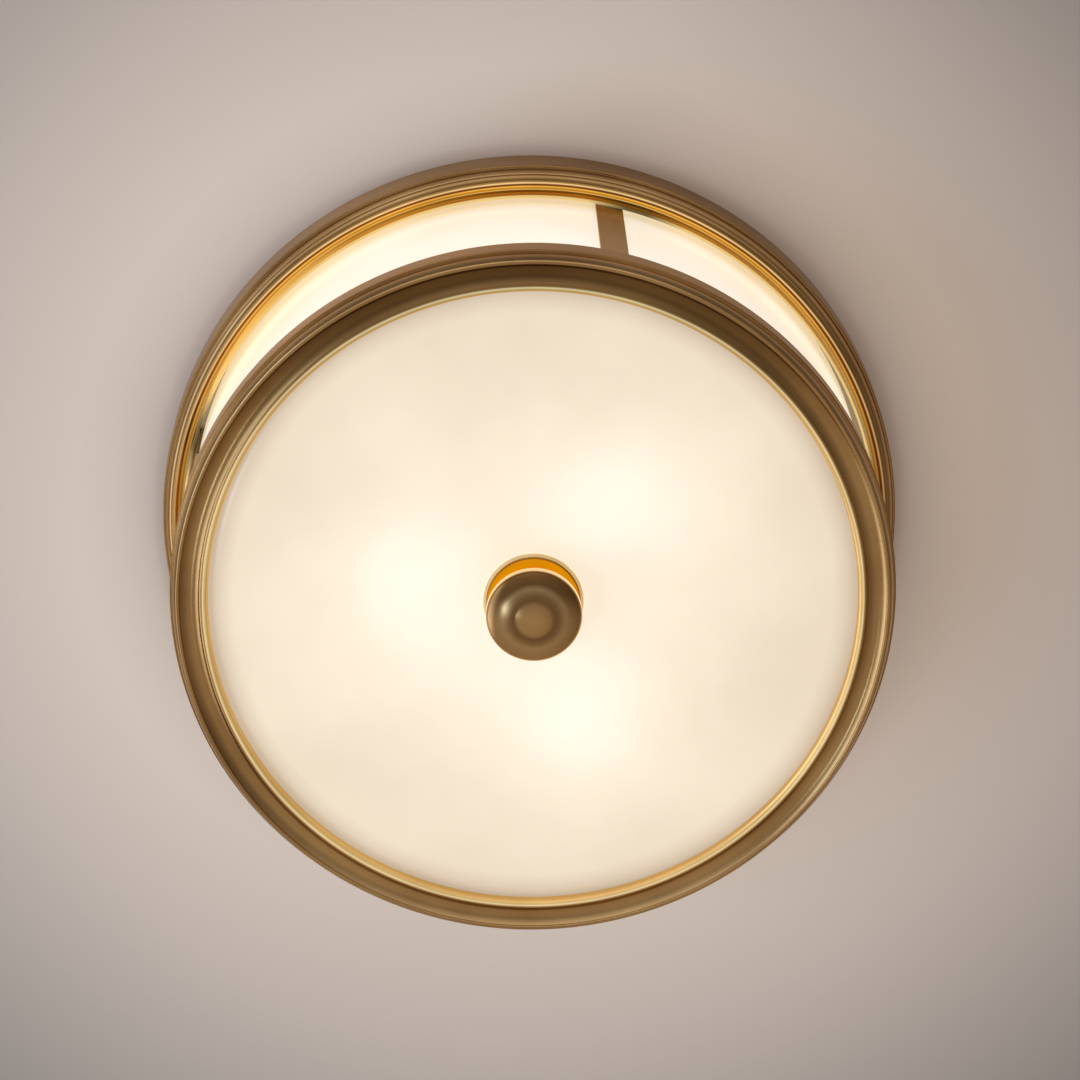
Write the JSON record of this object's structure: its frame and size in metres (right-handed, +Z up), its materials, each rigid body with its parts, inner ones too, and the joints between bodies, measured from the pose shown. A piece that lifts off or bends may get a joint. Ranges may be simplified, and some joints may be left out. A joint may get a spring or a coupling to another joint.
{
  "type": "flush ceiling light",
  "caption": "Round flush ceiling light: moulded brass canopy and strapped cage round an opal glass drum, held by a central finial, with lamps that unscrew inside.",
  "frame": {"origin": "centre of the top of the canopy, in the plane of the ceiling, on the centre rod's axis", "axes": "+Z up into the ceiling, the light hangs along -Z; X runs along the crossbar, and the picture was taken from the -Y side, below"},
  "size_m": [0.432, 0.432, 0.1865],
  "materials": {
    "antique_brass": "satin",
    "white_enamel": "gloss",
    "insulation_fibre": "pressed fibre board",
    "zinc_steel": "bright zinc",
    "green_steel": "green dyed zinc",
    "bare_copper": "bare copper",
    "plain_brass": "drawn",
    "black_wire": "satin",
    "white_wire": "satin",
    "nut_plastic": "moulded",
    "black_rubber": "matt",
    "opal_glass": "opal, satin",
    "fibre_board": "red vulcanised fibre",
    "pale_nylon": "moulded, a little clear",
    "porcelain": "glazed porcelain",
    "solder": "tinned",
    "black_glass": "fused glass",
    "frosted_glass": "frosted inside"
  },
  "bodies": {
    "fitting": {"canopy_ring": "antique_brass", "canopy_rivets": "zinc_steel", "ceiling_pan": "white_enamel", "insulation_board": "insulation_fibre", "crossbar": "zinc_steel", "ground_screws": "green_steel", "ground_lead": "bare_copper", "centre_rod": "plain_brass", "rod_nuts": "zinc_steel", "pan_washer": "zinc_steel", "holder_screws": "zinc_steel", "black_leads": "black_wire", "white_leads": "white_wire", "black_wire_nut": "nut_plastic", "white_wire_nut": "nut_plastic", "stop_bumpers": "black_rubber", "holder_1_body": "porcelain", "holder_1_shell": "plain_brass", "holder_1_contact": "plain_brass", "holder_2_body": "porcelain", "holder_2_shell": "plain_brass", "holder_2_contact": "plain_brass", "holder_3_body": "porcelain", "holder_3_shell": "plain_brass", "holder_3_contact": "plain_brass"},
    "shade": {"top_hoop": "antique_brass", "strap_1": "antique_brass", "strap_2": "antique_brass", "strap_3": "antique_brass", "strap_4": "antique_brass", "strap_pads": "black_rubber", "lower_ring": "antique_brass", "glass_drum": "opal_glass", "ring_gasket": "black_rubber", "glass_bush": "fibre_board"},
    "finial_seat": {"nylon_washer": "pale_nylon", "finial_plate": "antique_brass", "finial_collar": "antique_brass"},
    "finial": {"finial_knob": "antique_brass"},
    "lamp_1_foot": {"lamp_1_tip": "solder"},
    "lamp_1": {"lamp_1_insulator": "black_glass", "lamp_1_cap": "plain_brass", "lamp_1_bulb": "frosted_glass"},
    "lamp_2_foot": {"lamp_2_tip": "solder"},
    "lamp_2": {"lamp_2_insulator": "black_glass", "lamp_2_cap": "plain_brass", "lamp_2_bulb": "frosted_glass"},
    "lamp_3_foot": {"lamp_3_tip": "solder"},
    "lamp_3": {"lamp_3_insulator": "black_glass", "lamp_3_cap": "plain_brass", "lamp_3_bulb": "frosted_glass"}
  },
  "joints": [
    {"name": "shade_drop", "type": "slide", "parent": "fitting", "child": "shade", "axis": [0, 0, -1], "range_m": [0, 0.16]},
    {"name": "finial_travel", "type": "slide", "parent": "shade", "child": "finial_seat", "axis": [0, 0, -1], "range_m": [0, 0.0113]},
    {"name": "finial_turn", "type": "hinge", "parent": "finial_seat", "child": "finial", "pos_m": [0, 0, -0.165], "axis": [0, 0, -1], "range_deg": [0, 4320]},
    {"name": "lamp_1_feed", "type": "slide", "parent": "fitting", "child": "lamp_1_foot", "axis": [0, 0, -1], "range_m": [0, 0.01814]},
    {"name": "lamp_1_turn", "type": "hinge", "parent": "lamp_1_foot", "child": "lamp_1", "pos_m": [0.02071, 0.0752, -0.05], "axis": [0, 0, -1], "range_deg": [0, 1800]},
    {"name": "lamp_2_feed", "type": "slide", "parent": "fitting", "child": "lamp_2_foot", "axis": [0, 0, -1], "range_m": [0, 0.01814]},
    {"name": "lamp_2_turn", "type": "hinge", "parent": "lamp_2_foot", "child": "lamp_2", "pos_m": [-0.07548, -0.01966, -0.05], "axis": [0, 0, -1], "range_deg": [0, 1800]},
    {"name": "lamp_3_feed", "type": "slide", "parent": "fitting", "child": "lamp_3_foot", "axis": [0, 0, -1], "range_m": [0, 0.01814]},
    {"name": "lamp_3_turn", "type": "hinge", "parent": "lamp_3_foot", "child": "lamp_3", "pos_m": [0.05477, -0.05554, -0.05], "axis": [0, 0, -1], "range_deg": [0, 1800]}
  ],
  "couplings": [
    {"joint": "finial_travel", "follows": "finial_turn", "m_per_rad": 0.00014972},
    {"joint": "lamp_1_turn", "follows": "lamp_1_feed", "rad_per_m": 1731.4},
    {"joint": "lamp_2_turn", "follows": "lamp_2_feed", "rad_per_m": 1731.4},
    {"joint": "lamp_3_turn", "follows": "lamp_3_feed", "rad_per_m": 1731.4}
  ]
}
